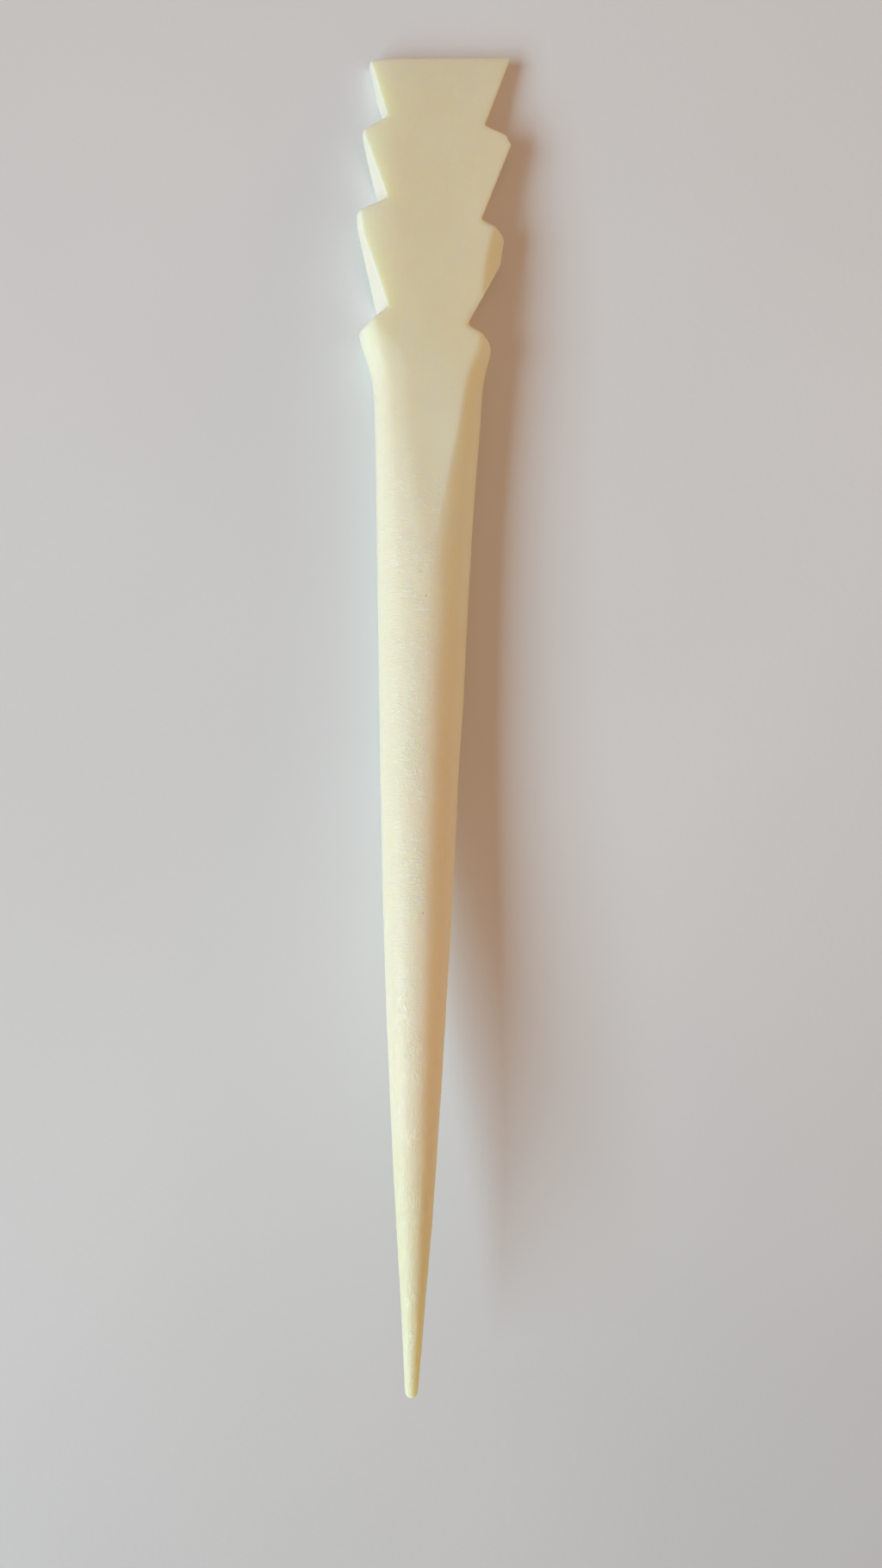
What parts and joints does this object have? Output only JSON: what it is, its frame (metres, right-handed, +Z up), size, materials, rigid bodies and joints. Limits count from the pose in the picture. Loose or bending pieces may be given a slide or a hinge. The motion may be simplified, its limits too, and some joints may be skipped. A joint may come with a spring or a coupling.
{
  "type": "bone folder",
  "caption": "One-piece carved bone folder: a flat head with notched tiers that thins to a square end, and a long rounded blade that tapers to a blunt tip and bows upward.",
  "frame": {"origin": "centre of the bounding box in X and Y, on the surface that the tool lies on", "axes": "+Y from the blade tip towards the square head end, +Z up from the surface that the tool lies on, +X across to the right when seen from above with the head end away"},
  "size_m": [0.0174, 0.15, 0.0121],
  "materials": {
    "bone": null
  },
  "bodies": {
    "root": {"bone_folder": "bone"}
  },
  "joints": []
}
